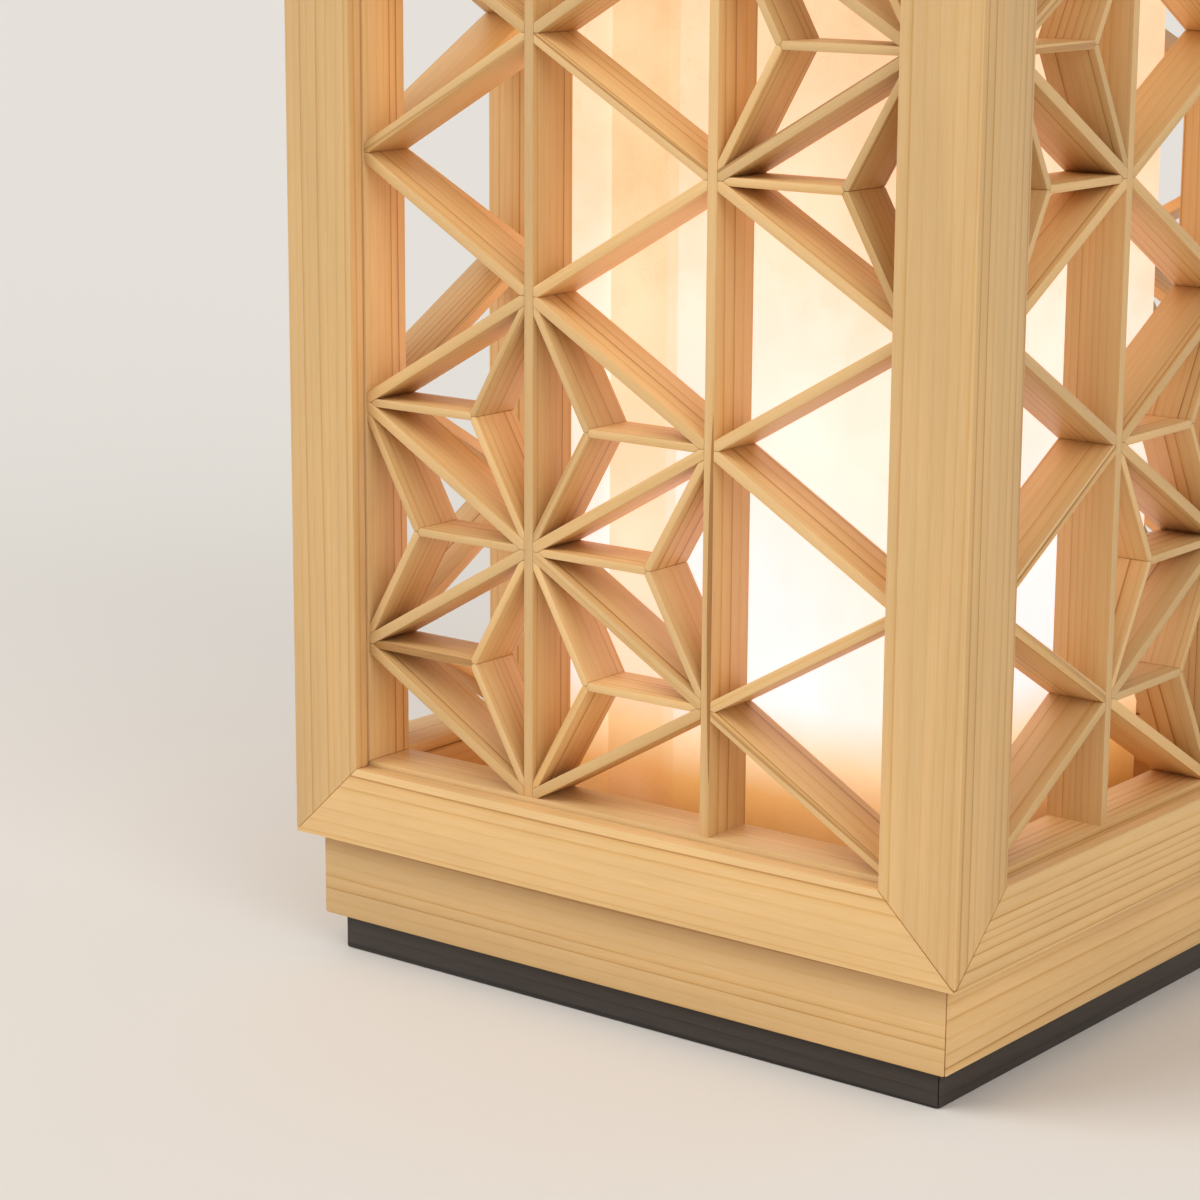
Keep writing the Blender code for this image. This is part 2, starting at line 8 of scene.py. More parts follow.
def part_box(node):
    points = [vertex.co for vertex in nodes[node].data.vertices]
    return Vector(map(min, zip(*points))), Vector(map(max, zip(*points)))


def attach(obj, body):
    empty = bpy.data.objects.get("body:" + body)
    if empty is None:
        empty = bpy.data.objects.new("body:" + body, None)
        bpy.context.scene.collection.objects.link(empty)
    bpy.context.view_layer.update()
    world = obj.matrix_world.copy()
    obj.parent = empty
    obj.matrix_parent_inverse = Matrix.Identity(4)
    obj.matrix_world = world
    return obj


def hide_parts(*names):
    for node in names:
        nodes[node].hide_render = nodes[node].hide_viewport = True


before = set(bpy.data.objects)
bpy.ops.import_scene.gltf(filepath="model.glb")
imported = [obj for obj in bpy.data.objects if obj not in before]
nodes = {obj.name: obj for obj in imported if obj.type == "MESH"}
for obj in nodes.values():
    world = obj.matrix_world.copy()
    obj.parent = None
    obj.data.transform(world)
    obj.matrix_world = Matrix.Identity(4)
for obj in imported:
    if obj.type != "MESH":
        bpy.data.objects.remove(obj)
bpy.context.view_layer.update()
mm = 0.001
sides = ("front", "right", "back", "left")
corners = ("front_right", "back_right", "back_left", "front_left")
print("frame loaded,", len(nodes), "nodes")


def srgb(hexText):
    # sRGB hex to the linear values that Blender's sockets hold
    channels = [int(hexText[i:i + 2], 16) / 255 for i in (1, 3, 5)]
    return tuple(c / 12.92 if c <= 0.04045 else ((c + 0.055) / 1.055) ** 2.4 for c in channels) + (1.0,)


def addNode(tree, kind, inputs=None, stops=None, **settings):
    # a socket among the inputs is linked, anything else is set; stops fill a colour ramp from end to end
    # a map range's inputs are 0 the value, 1 and 2 the span that it comes from, 3 and 4 the span it goes to
    node = tree.nodes.new("ShaderNode" + kind)
    for key, value in settings.items():
        setattr(node, key, value)
    for key, value in (inputs or {}).items():
        if isinstance(value, bpy.types.NodeSocket):
            tree.links.new(value, node.inputs[key])
        else:
            node.inputs[key].default_value = value
    if stops:
        elements = node.color_ramp.elements
        for element, (place, colour) in zip(elements, (stops[0], stops[-1])):
            element.position = place
            element.color = colour
        for place, colour in stops[1:-1]:
            elements.new(place).color = colour
    return node


def newMaterial(name, **sockets):
    # the shader's sockets go by their names, with _ for a space
    material = bpy.data.materials.new(name)
    material.use_nodes = True
    shader = material.node_tree.nodes["Principled BSDF"]
    for socket, value in sockets.items():
        shader.inputs[socket.replace("_", " ")].default_value = value
    return material, material.node_tree, shader


meshing = {
    "weld": 0.002 * mm,  # points of the solid's loose triangles that are one
    "flat": 0.5,  # degrees between triangles that are one flat face
    "arrisFrom": 30,  # degrees from which an edge is rounded
    "arrisSteps": 2,
    "crispFrom": 35,  # degrees from which an edge stays crisp
}


def useOnly(piece):
    bpy.ops.object.select_all(action="DESELECT")
    piece.select_set(True)
    bpy.context.view_layer.objects.active = piece


def editing(piece):
    useOnly(piece)
    bpy.ops.object.mode_set(mode="EDIT")


def editDone():
    bpy.ops.object.mode_set(mode="OBJECT")


def pickFaces(piece, wanted):
    # selects the faces that pass a test of (middle, normal), and leaves the piece in edit mode
    editing(piece)
    bpy.ops.mesh.select_all(action="DESELECT")
    bpy.ops.mesh.select_mode(type="FACE")
    editDone()
    for face in piece.data.polygons:
        face.select = wanted(face.center, face.normal)
    bpy.ops.object.mode_set(mode="EDIT")


def pickEdges(piece, wanted):
    # selects the edges that pass a test of their two ends, and leaves the piece in edit mode
    editing(piece)
    bpy.ops.mesh.select_all(action="DESELECT")
    bpy.ops.mesh.select_mode(type="EDGE")
    editDone()
    points = piece.data.vertices
    for edge in piece.data.edges:
        edge.select = wanted(points[edge.vertices[0]].co, points[edge.vertices[1]].co)
    bpy.ops.object.mode_set(mode="EDIT")


def applyModifier(piece, kind, **settings):
    useOnly(piece)
    modifier = piece.modifiers.new(kind, kind)
    for key, value in settings.items():
        setattr(modifier, key, value)
    bpy.ops.object.modifier_apply(modifier=modifier.name)


def roundArrises(piece, width, angle=meshing["arrisFrom"]):
    applyModifier(piece, "BEVEL", width=width, segments=meshing["arrisSteps"], limit_method="ANGLE",
                  angle_limit=math.radians(angle), use_clamp_overlap=True)


def fromNode(node, name, whole=True):
    # a piece that starts as its solid: loose triangles merged, then flat faces made whole or made quads
    piece = bpy.data.objects.new(name, nodes[node].data.copy())
    bpy.context.scene.collection.objects.link(piece)
    editing(piece)
    bpy.ops.mesh.select_all(action="SELECT")
    bpy.ops.mesh.customdata_custom_splitnormals_clear()
    bpy.ops.mesh.remove_doubles(threshold=meshing["weld"])
    if whole:
        bpy.ops.mesh.dissolve_limited(angle_limit=math.radians(meshing["flat"]))
    else:
        bpy.ops.mesh.tris_convert_to_quads()
    editDone()
    piece.data.materials.clear()
    return piece


def softShade(piece, angle=meshing["crispFrom"]):
    useOnly(piece)
    bpy.ops.object.shade_smooth_by_angle(angle=math.radians(angle))


def finishPiece(piece, material, body, slot, *replaced):
    piece.data.materials.append(material)
    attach(piece, body)
    if replaced:
        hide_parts(*replaced)


planks = {
    "apart": 5,  # metres either way in the wood's pattern, so that no two planks are alike
    "crowding": (0.55, 1.2),  # rings stand closer in some planks than in others
    "spread": 32,  # degrees that the rings lean either way
    "riftSpread": 12,  # the same for planks that are cut to a lean
    "riftLean": 45,  # rings cross the corner of a squared member, so both its faces show straight lines
}
# each plank draws its grain from a seed of its own, counted up from these
seeds = {"panel": 1000, "side": 100, "rail": 1, "edge": 10, "plinth": 20, "foot": 21,
         "board": 901, "block": 910}


def layGrain(piece, along, seed, lean=0):
    # stores where each point lies in its own plank: along the fibres, across the rings, and along the rings
    dice = random.Random(seed)
    spread = planks["riftSpread"] if lean else planks["spread"]
    angle = math.radians(lean + dice.uniform(-spread, spread))
    shift = Vector([dice.uniform(-planks["apart"], planks["apart"]) for axis in "XYZ"])
    crowding = dice.uniform(*planks["crowding"])
    across = {"X": (1, 2), "Y": (0, 2), "Z": (1, 0)}[along]
    length = "XYZ".index(along)
    grain = piece.data.attributes.new("grain", "FLOAT_VECTOR", "POINT")
    for point, value in zip(piece.data.vertices, grain.data):
        first, second = point.co[across[0]], point.co[across[1]]
        ring = (first * math.cos(angle) + second * math.sin(angle)) * crowding
        flat = second * math.cos(angle) - first * math.sin(angle)
        value.vector = Vector((point.co[length], ring, flat)) + shift


noiseSpan = {1: 0.3, 2: 0.7}  # nearly all values of a noise lie in here

hinoki = {
    "early": "#E4BE86",
    "middle": "#DAAC6A",
    "late": "#B88347",
    "middleAt": 0.42,
    "ringSpacing": 1.6 * mm,
    # how dark a ring is from its inner to its outer edge
    "ringDark": ((0.0, 0.5), (0.08, 0.04), (0.55, 0.1), (0.82, 0.36), (0.93, 1.0), (1.0, 0.95)),
    "ringRarity": 2.0,  # the higher, the fewer rings are strong
    "ringStrength": (0.14, 0.95),
    "ringDrift": 2.8 * mm,
    "driftWidth": 6 * mm,
    "driftLength": 220 * mm,
    "driftFlat": 0.4,  # the drift is slower along the rings than across them
    "fibreWidth": 0.2 * mm,
    "fibreLength": 8 * mm,
    "fibreShare": 0.5,
    "fibreFloor": 0.16,  # taken off again, so that fibres lighten as well as darken
    "bloomWidth": 4 * mm,
    "bloomLength": 50 * mm,
    "bloom": (0.95, 1.04),
    "toneReach": 300 * mm,
    "tone": (0.86, 1.08),
    "roughness": 0.5,
    "polish": 0.12,  # late wood is harder, and that much smoother
    "relief": 0.03 * mm,
    "reliefStrength": 0.5,
}


def ringedWood(name, look):
    # Hinoki cypress planed with the grain: pale early wood that darkens to a thin late-wood line on
    # each ring, fine fibres and soft streaks along the length, and a satin sheen with no varnish.
    material, tree, shader = newMaterial(name, IOR=1.5)
    grain = addNode(tree, "Attribute", attribute_name="grain").outputs["Vector"]
    axes = addNode(tree, "SeparateXYZ", {0: grain})
    # rings stand closer or wider across the plank, and wander a little along it
    slow = (look["driftWidth"] / look["driftLength"], 1, look["driftFlat"])
    slowed = addNode(tree, "VectorMath", {0: grain, 1: slow}, operation="MULTIPLY").outputs[0]
    drift = addNode(tree, "TexNoise", {"Vector": slowed, "Scale": 1 / look["driftWidth"], "Detail": 0.5})
    moved = addNode(tree, "Math", {0: drift.outputs["Fac"], 1: look["ringDrift"], 2: axes.outputs["Y"]},
                    operation="MULTIPLY_ADD")
    rings = addNode(tree, "Math", {0: moved.outputs[0], 1: look["ringSpacing"]}, operation="DIVIDE")
    within = addNode(tree, "Math", {0: rings.outputs[0]}, operation="FRACT")
    ringNumber = addNode(tree, "Math", {0: rings.outputs[0]}, operation="FLOOR")
    ringLuck = addNode(tree, "TexWhiteNoise", {"W": ringNumber.outputs[0]}, noise_dimensions="1D")
    profile = addNode(tree, "ValToRGB", {0: within.outputs[0]},
                      stops=[(place, (dark, dark, dark, 1)) for place, dark in look["ringDark"]])
    # most rings are faint, a few are strong
    luck = addNode(tree, "Math", {0: ringLuck.outputs["Value"], 1: look["ringRarity"]}, operation="POWER")
    faint, strong = look["ringStrength"]
    depth = addNode(tree, "MapRange", {0: luck.outputs[0], 3: faint, 4: strong})
    late = addNode(tree, "Math", {0: profile.outputs[0], 1: depth.outputs[0]}, operation="MULTIPLY")
    stretch = (look["fibreWidth"] / look["fibreLength"], 1, 1)
    drawn = addNode(tree, "VectorMath", {0: grain, 1: stretch}, operation="MULTIPLY").outputs[0]
    fibre = addNode(tree, "TexNoise", {"Vector": drawn, "Scale": 1 / look["fibreWidth"], "Detail": 3.0})
    shown = addNode(tree, "Math", {0: fibre.outputs["Fac"], 1: look["fibreShare"], 2: late.outputs[0]},
                    operation="MULTIPLY_ADD")
    level = addNode(tree, "Math", {0: shown.outputs[0], 1: look["fibreFloor"]}, operation="SUBTRACT")
    wood = addNode(tree, "ValToRGB", {0: level.outputs[0]}, stops=[
        (0.0, srgb(look["early"])), (look["middleAt"], srgb(look["middle"])), (1.0, srgb(look["late"]))])
    # planks differ in tone, and soft streaks run along each
    plank = addNode(tree, "TexNoise", {"Vector": grain, "Scale": 1 / look["toneReach"], "Detail": 0.0})
    dull, fair = look["tone"]
    tone = addNode(tree, "MapRange", {0: plank.outputs["Fac"], **noiseSpan, 3: dull, 4: fair})
    streak = (look["bloomWidth"] / look["bloomLength"], 1, 1)
    soft = addNode(tree, "VectorMath", {0: grain, 1: streak}, operation="MULTIPLY").outputs[0]
    bloom = addNode(tree, "TexNoise", {"Vector": soft, "Scale": 1 / look["bloomWidth"], "Detail": 2.0})
    dull, fair = look["bloom"]
    bloomed = addNode(tree, "MapRange", {0: bloom.outputs["Fac"], **noiseSpan, 3: dull, 4: fair})
    value = addNode(tree, "Math", {0: tone.outputs[0], 1: bloomed.outputs[0]}, operation="MULTIPLY")
    toned = addNode(tree, "HueSaturation", {"Color": wood.outputs[0], "Value": value.outputs[0]})
    tree.links.new(toned.outputs[0], shader.inputs["Base Color"])
    sheen = addNode(tree, "MapRange", {0: level.outputs[0], 3: look["roughness"],
                                       4: look["roughness"] - look["polish"]})
    tree.links.new(sheen.outputs[0], shader.inputs["Roughness"])
    bump = addNode(tree, "Bump", {"Strength": look["reliefStrength"], "Distance": look["relief"],
                                  "Height": level.outputs[0]})
    tree.links.new(bump.outputs[0], shader.inputs["Normal"])
    return material


frameWood = ringedWood("planedHinokiFrame", hinoki)
latticeWood = ringedWood("planedHinokiLattice", {**hinoki, "late": "#A8733B", "roughness": 0.52})
sanded = {"early": "#DDB888", "late": "#A87743", "roughness": 0.66}
boardWood = ringedWood("sandedHinokiBoard", {**hinoki, **sanded})
# the foot's wood is rubbed with black stain, so its rings just show
blackStain = {"early": "#3F352E", "middle": "#1F1A16", "late": "#080605", "roughness": 0.55}
stainedWood = ringedWood("blackStainedHinoki", {**hinoki, **blackStain})
print("wood ready")


lattice = {
    "columns": 3,
    "pitches": 6,
    "slant": 30,  # degrees, so that the grid is one of even triangles
    "grid": 2.0 * mm,
    "leaf": 1.5 * mm,
    "stars": ((1, -2), (1, 2), (3, 0)),  # grid column, pitches above mid-height
    "without": {"left": (1, 2)},  # its lower star, as it is turned over: through the front it shows open
    "arris": 0.13 * mm,
    "joint": 0.03 * mm,
    "leafSink": 0.15 * mm,
    "opening": 120 * mm,
    "slantStock": 1.2,  # pitches of strip that a slant strip is sawn from
    "leafStock": 3,  # leaf lengths of strip that a leaf is sawn from
}
panelLow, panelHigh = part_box("lattice_front")
panelMiddle = (panelLow.z + panelHigh.z) / 2
panelDepth = panelHigh.y - panelLow.y
columnWidth = lattice["opening"] / lattice["columns"]
pitch = columnWidth / math.cos(math.radians(lattice["slant"]))


def makeBar(name, length, thick, deep, cuts):
    # a planed strip along X, sawn at its ends by (point, outward normal) in its own XZ plane
    bpy.ops.object.select_all(action="DESELECT")
    bpy.ops.mesh.primitive_cube_add(size=1, location=(0, 0, 0))
    bar = bpy.context.object
    bar.name = name
    bar.scale = (length, deep, thick)
    bpy.ops.object.transform_apply(location=False, rotation=False, scale=True)
    bpy.ops.object.mode_set(mode="EDIT")
    for point, normal in cuts:
        bpy.ops.mesh.select_all(action="SELECT")
        bpy.ops.mesh.bisect(plane_co=(point[0], 0, point[1]), plane_no=(normal[0], 0, normal[1]),
                            use_fill=True, clear_outer=True)
    editDone()
    roundArrises(bar, lattice["arris"])
    softShade(bar)
    return bar


def turned(flat, degrees):
    angle = math.radians(degrees)
    x, z = flat
    return (x * math.cos(angle) - z * math.sin(angle), x * math.sin(angle) + z * math.cos(angle))


def latticeBars():
    half = lattice["grid"] / 2
    gap = lattice["joint"]
    slant = lattice["slant"]
    height = lattice["pitches"] * pitch - 2 * gap
    bars = {"upright": makeBar("uprightBar", height, lattice["grid"], panelDepth, ())}
    # a slant strip butts on the uprights and meets its mirror image on a level mitre
    endX = columnWidth / 2 - half - gap
    endZ = pitch / 4 - gap
    saws = [((endX, 0), (1, 0)), ((-endX, 0), (-1, 0)), ((0, endZ), (0, 1)), ((0, -endZ), (0, -1))]
    for kind, lean in (("rising", slant), ("falling", -slant)):
        cuts = [(turned(point, -lean), turned(normal, -lean)) for point, normal in saws]
        bars[kind] = makeBar(kind + "Bar", lattice["slantStock"] * pitch, lattice["grid"], panelDepth, cuts)
    # a leaf runs from the hub of a triangle, where three meet, into the corner between two grid strips
    corner = pitch / math.sqrt(3) - 2 * (half + gap)
    cuts = []
    for sign in (-1, 1):
        cuts.append(((corner, 0), turned((0, sign), -sign * slant)))
        cuts.append(((gap, 0), turned((0, sign), sign * 2 * slant)))
    leafDepth = panelDepth - lattice["leafSink"]
    bars["leaf"] = makeBar("leafBar", lattice["leafStock"] * corner, lattice["leaf"], leafDepth, cuts)
    return bars


def gridPoint(column, halfPitches):
    return (column * columnWidth - lattice["opening"] / 2, halfPitches * pitch / 2)


def barPlaces(stars):
    # (kind, degrees, x, z) of every strip and leaf of a panel like the front's, z from mid-height
    top = lattice["pitches"]
    slant = lattice["slant"]
    places = [("upright", 90, gridPoint(column, 0)[0], 0) for column in range(1, lattice["columns"])]
    centres = {(column, 2 * up) for column, up in stars}
    for column in range(lattice["columns"]):
        for height in range(-top, top):
            kind, lean = ("rising", slant) if (height + top + column) % 2 else ("falling", -slant)
            places.append((kind, lean, *gridPoint(column + 0.5, height + 0.5)))
        for height in range(-top - 1, top):
            points = ((column, height), (column + 1, height + 1), (column, height + 2))
            spin = 0
            if (height + top + column) % 2 == 0:
                points = ((column + 1, height), (column + 1, height + 2), (column, height + 1))
                spin = 180
            if centres.isdisjoint(points):
                continue
            spots = [gridPoint(*point) for point in points]
            hub = (sum(x for x, _ in spots) / 3, sum(z for _, z in spots) / 3)
            places.extend(("leaf", spin + third, *hub) for third in (0, 120, 240))
    return places


def buildPanel(side, turn, over, bars, seed):
    # every strip is its own plank, with its own grain
    strips = []
    stars = [star for star in lattice["stars"] if star != lattice["without"].get(side)]
    for i, (kind, degrees, x, z) in enumerate(barPlaces(stars)):
        strip = bpy.data.objects.new(f"{side}{kind}{i}", bars[kind].data.copy())
        bpy.context.scene.collection.objects.link(strip)
        layGrain(strip, "X", seed + i)
        strip.data.transform(Matrix.Rotation(-math.radians(degrees), 4, "Y"))
        strip.data.transform(Matrix.Translation((x, 0, z)))
        strips.append(strip)
    bpy.ops.object.select_all(action="DESELECT")
    for strip in strips:
        strip.select_set(True)
    bpy.context.view_layer.objects.active = strips[0]
    bpy.ops.object.join()
    panel = strips[0]
    panel.name = f"kumiko_panel_{side}"
    middle = Matrix.Translation((0, (panelLow.y + panelHigh.y) / 2, 0))
    face = Euler((0, over, turn)).to_matrix().to_4x4()
    panel.data.transform(Matrix.Translation((0, 0, panelMiddle)) @ face @ middle)
    finishPiece(panel, latticeWood, "lantern", "lattice_wood", f"lattice_{side}")


latticeStock = latticeBars()
for i, side in enumerate(sides):
    # the right and left panels are the front's panel turned over
    buildPanel(side, i * math.pi / 2, math.pi * (i % 2), latticeStock, seeds["panel"] * (i + 1))
for bar in latticeStock.values():
    bpy.data.objects.remove(bar, do_unlink=True)
print("kumiko panels built")


joinery = {
    "closeUp": 0.12 * mm,  # how far each mitre face is brought towards its neighbour's
    "square": 0.9,  # a face whose normal leans on one axis more than this is square, any other is a mitre
    "endwise": 0.5,  # an upright's own mitres are at its ends, where the normal points up or down this much
    "frameArris": 0.35 * mm,
    "stripArris": 0.13 * mm,
}


def joinedWood(node, name, along, arris, material, body, slot, seed, lean=0):
    piece = fromNode(node, name)
    pickFaces(piece, lambda middle, normal: max(abs(n) for n in normal) < joinery["square"]
              and (along != "Z" or abs(normal.z) > joinery["endwise"]))
    bpy.ops.transform.shrink_fatten(value=joinery["closeUp"], use_even_offset=True)
    editDone()
    layGrain(piece, along, seed, lean)
    roundArrises(piece, arris)
    softShade(piece)
    finishPiece(piece, material, body, slot, node)


arris = joinery["frameArris"]
fine = joinery["stripArris"]
for i, side in enumerate(sides):
    level = "X" if side in ("front", "back") else "Y"
    seed = seeds["side"] * (i + 1)
    lean = planks["riftLean"] * (-1) ** i
    joinedWood(f"post_{corners[i]}", f"mitred_post_{corners[i]}", "Z", arris, frameWood,
               "lantern", "frame_wood", seed, lean)
    for j, end in enumerate(("bottom", "top")):
        joinedWood(f"{end}_rail_{side}", f"mitred_{end}_rail_{side}", level, arris, frameWood,
                   "lantern", "frame_wood", seed + seeds["rail"] + j, lean)
    for j, (edge, along) in enumerate((("right", "Z"), ("left", "Z"), ("bottom", level), ("top", level))):
        joinedWood(f"{side}_edge_strip_{edge}", f"{side}_panel_edge_{edge}", along, fine, latticeWood,
                   "lantern", "lattice_wood", seed + seeds["edge"] + j)
    joinedWood(f"plinth_{side}", f"mitred_plinth_{side}", level, arris, frameWood,
               "base", "frame_wood", seed + seeds["plinth"], -lean)
    joinedWood(f"foot_{side}", f"stained_foot_{side}", level, arris, stainedWood,
               "base", "stained_wood", seed + seeds["foot"], lean)
print("frame, plinth and foot dressed")


washi = {
    "paper": "#C4BEB2",  # a sheet that lets half the light through gives half of it back
    "bulbAt": (0, 0, 62 * mm),
    "nearest": 43 * mm,  # from the bulb's axis to a side of the shade
    "falloff": 3.0,  # distance squared, and once more because the light comes in at a slant
    "around": 0.1,  # light that reaches every part by way of the other sides
    # painted glow: colour of the sheet by how much of the bulb's light reaches it
    "glow": ((0.1, "#CEAC76"), (0.18, "#F3C3A3"), (0.25, "#FCD6C6"), (0.8, "#FFE6EB")),
    # painted shadow of the lamp holder in the sheet's glow, deepest at the lower height
    "shadow": (30 * mm, 58 * mm),  # the lamp holder shades the sheet from the upper height down
    "shadowTint": ((0.0, "#81550F"), (0.36, "#C69945"), (0.65, "#E8DAA8"), (1.0, "#FFFFFF")),
    "seam": (-23.4 * mm, -10.3 * mm, -7.8 * mm),  # the lap on the front: edge, thinned part, end
    "seamBlur": (0.1 * mm, 0.2 * mm, 0.3 * mm),  # how softly each of these starts
    "thinned": 0.72,
    # painted: the glow of the lapped part, where the double sheet lets less light through
    "double": "#F6E5C4",
    "frontFrom": (-40 * mm, -41 * mm),
    "inner": 0.78,  # the inner face throws back light of the other sides, so less of it is its own
    "thick": 0.6 * mm,
    "foldRadius": 1.3 * mm,
    "foldSteps": 4,
    "cloud": 7 * mm,
    "cloudTone": (0.93, 1.05),
    "fibre": 5 * mm,
    "fibreCurl": 0.6,
    "fibreWidth": 0.012,  # as a step of the noise that draws the fibres
    "fibreTone": 0.92,
    "relief": 0.06 * mm,
    "reliefStrength": 0.4,
}


def litWashi():
    # Washi of long mulberry fibres laminated to a stiff sheet: cloudy where the fibres gather, with stray
    # strands, matt. The bulb's light through it is painted into its emission: brightest near the bulb, with
    # a painted shadow of the holder below it, and deeper where the sheet is double.
    material, tree, shader = newMaterial("litWashiSheet", Roughness=0.85, IOR=1.45)
    coordinates = addNode(tree, "TexCoord")
    place = coordinates.outputs["Object"]
    axes = addNode(tree, "SeparateXYZ", {0: place})
    away = addNode(tree, "VectorMath", {0: place, 1: washi["bulbAt"]}, operation="DISTANCE")
    near = addNode(tree, "Math", {0: washi["nearest"], 1: away.outputs["Value"]}, operation="DIVIDE")
    direct = addNode(tree, "Math", {0: near.outputs[0], 1: washi["falloff"]}, operation="POWER")
    light = addNode(tree, "Math", {0: direct.outputs[0], 1: washi["around"]}, operation="ADD")
    cloud = addNode(tree, "TexNoise", {"Vector": place, "Scale": 1 / washi["cloud"], "Detail": 4.0})
    strand = addNode(tree, "TexNoise", {"Vector": place, "Scale": 1 / washi["fibre"], "Detail": 1.0,
                                        "Distortion": washi["fibreCurl"]})
    # a strand lies where the noise crosses its middle value
    offLine = addNode(tree, "Math", {0: strand.outputs["Fac"], 1: 0.5}, operation="SUBTRACT")
    beside = addNode(tree, "Math", {0: offLine.outputs[0]}, operation="ABSOLUTE")
    line = addNode(tree, "MapRange", {0: beside.outputs[0], 1: 0.0, 2: washi["fibreWidth"],
                                      3: washi["fibreTone"], 4: 1.0})
    dull, fair = washi["cloudTone"]
    body = addNode(tree, "MapRange", {0: cloud.outputs["Fac"], **noiseSpan, 3: dull, 4: fair})
    sheet = addNode(tree, "Math", {0: line.outputs[0], 1: body.outputs[0]}, operation="MULTIPLY")
    seen = addNode(tree, "Math", {0: light.outputs[0], 1: sheet.outputs[0]}, operation="MULTIPLY")
    glow = addNode(tree, "ValToRGB", {0: seen.outputs[0]},
                   stops=[(level, srgb(colour)) for level, colour in washi["glow"]])
    # painted shadow of the holder: the glow that comes round it is weaker and redder
    low, high = washi["shadow"]
    height = addNode(tree, "MapRange", {0: axes.outputs["Z"], 1: low, 2: high})
    shadow = addNode(tree, "ValToRGB", {0: height.outputs[0]},
                     stops=[(level, srgb(colour)) for level, colour in washi["shadowTint"]])
    shaded = addNode(tree, "Mix", {0: 1.0, 6: glow.outputs[0], 7: shadow.outputs[0]},
                     data_type="RGBA", blend_type="MULTIPLY")
    # painted: the lap of the sheet passes less light, so its glow is deeper; near its end it is torn thin
    edge, thinned, end = washi["seam"]
    edgeBlur, thinnedBlur, endBlur = washi["seamBlur"]
    starts = addNode(tree, "MapRange", {0: axes.outputs["X"], 1: edge - edgeBlur, 2: edge + edgeBlur})
    thins = addNode(tree, "MapRange", {0: axes.outputs["X"], 1: thinned - thinnedBlur,
                                       2: thinned + thinnedBlur, 3: 1.0, 4: washi["thinned"]})
    ends = addNode(tree, "MapRange", {0: axes.outputs["X"], 1: end - endBlur, 2: end, 3: 1.0, 4: 0.0})
    behind, front = washi["frontFrom"]
    onFront = addNode(tree, "MapRange", {0: axes.outputs["Y"], 1: behind, 2: front})
    across = addNode(tree, "Math", {0: starts.outputs[0], 1: ends.outputs[0]}, operation="MULTIPLY")
    fading = addNode(tree, "Math", {0: across.outputs[0], 1: thins.outputs[0]}, operation="MULTIPLY")
    double = addNode(tree, "Math", {0: fading.outputs[0], 1: onFront.outputs[0]}, operation="MULTIPLY")
    lapped = addNode(tree, "Mix", {0: double.outputs[0], 6: shaded.outputs[2], 7: srgb(washi["double"])},
                     data_type="RGBA", blend_type="MULTIPLY")
    # painted: an inner face glows less than an outer one; an outer face looks away from the axis, an inner
    # one towards it
    outward = addNode(tree, "VectorMath", {0: place, 1: coordinates.outputs["Normal"]},
                      operation="DOT_PRODUCT")
    face = addNode(tree, "MapRange", {0: outward.outputs["Value"], 1: -mm, 2: mm,
                                      3: washi["inner"], 4: 1.0})
    given = addNode(tree, "VectorMath", {0: lapped.outputs[2], "Scale": face.outputs[0]}, operation="SCALE")
    # the painted glow goes in as emission, not as light passed through the sheet
    tree.links.new(given.outputs[0], shader.inputs["Emission Color"])
    shader.inputs["Emission Strength"].default_value = 1.0
    colour = addNode(tree, "HueSaturation", {"Color": srgb(washi["paper"]), "Value": sheet.outputs[0]})
    tree.links.new(colour.outputs[0], shader.inputs["Base Color"])
    bump = addNode(tree, "Bump", {"Strength": washi["reliefStrength"], "Distance": washi["relief"],
                                  "Height": sheet.outputs[0]})
    tree.links.new(bump.outputs[0], shader.inputs["Normal"])
    return material


def foldShade():
    # the sheet's four folds are rounded, wider outside than inside, so the sheet keeps its thickness
    shade = fromNode("shade", "folded_washi_shade", whole=False)
    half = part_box("shade")[1].x
    close = 0.05 * mm
    for inset, radius in ((0, washi["foldRadius"]), (washi["thick"], washi["foldRadius"] - washi["thick"])):
        corner = half - inset
        pickEdges(shade, lambda a, b: all(abs(abs(c) - corner) < close for c in (a.x, a.y, b.x, b.y))
                  and abs(a.z - b.z) > half)
        bpy.ops.mesh.bevel(offset=radius, segments=washi["foldSteps"], affect="EDGES")
        editDone()
    softShade(shade)
    finishPiece(shade, litWashi(), "shade", "washi", "shade")


foldShade()
print("shade folded")


boards = {
    "arris": 0.3 * mm,
    "blockArris": 0.2 * mm,
    "bodies": {"base_board": "base", "shade_seat": "base", "shade_ring": "shade"},
}


def dressBoard(node, name, along, body, seed, arris):
    piece = fromNode(node, name)
    layGrain(piece, along, seed)
    roundArrises(piece, arris)
    softShade(piece)
    finishPiece(piece, boardWood, body, "board_wood", node)


for i, corner in enumerate(corners):
    dressBoard(f"corner_block_{corner}", f"locating_block_{corner}", "Z", "base",
               seeds["block"] + i, boards["blockArris"])
for i, (board, body) in enumerate(boards["bodies"].items()):
    dressBoard(board, f"sanded_{board}", "X", body, seeds["board"] + i, boards["arris"])
print("inner boards dressed")


phenolicResin = {"colour": "#1C1917", "roughness": 0.32, "grit": 2.5 * mm, "relief": 0.01 * mm}
blackRubber = {"colour": "#1A1A1A", "roughness": 0.72, "grit": 0.5 * mm, "relief": 0.02 * mm}
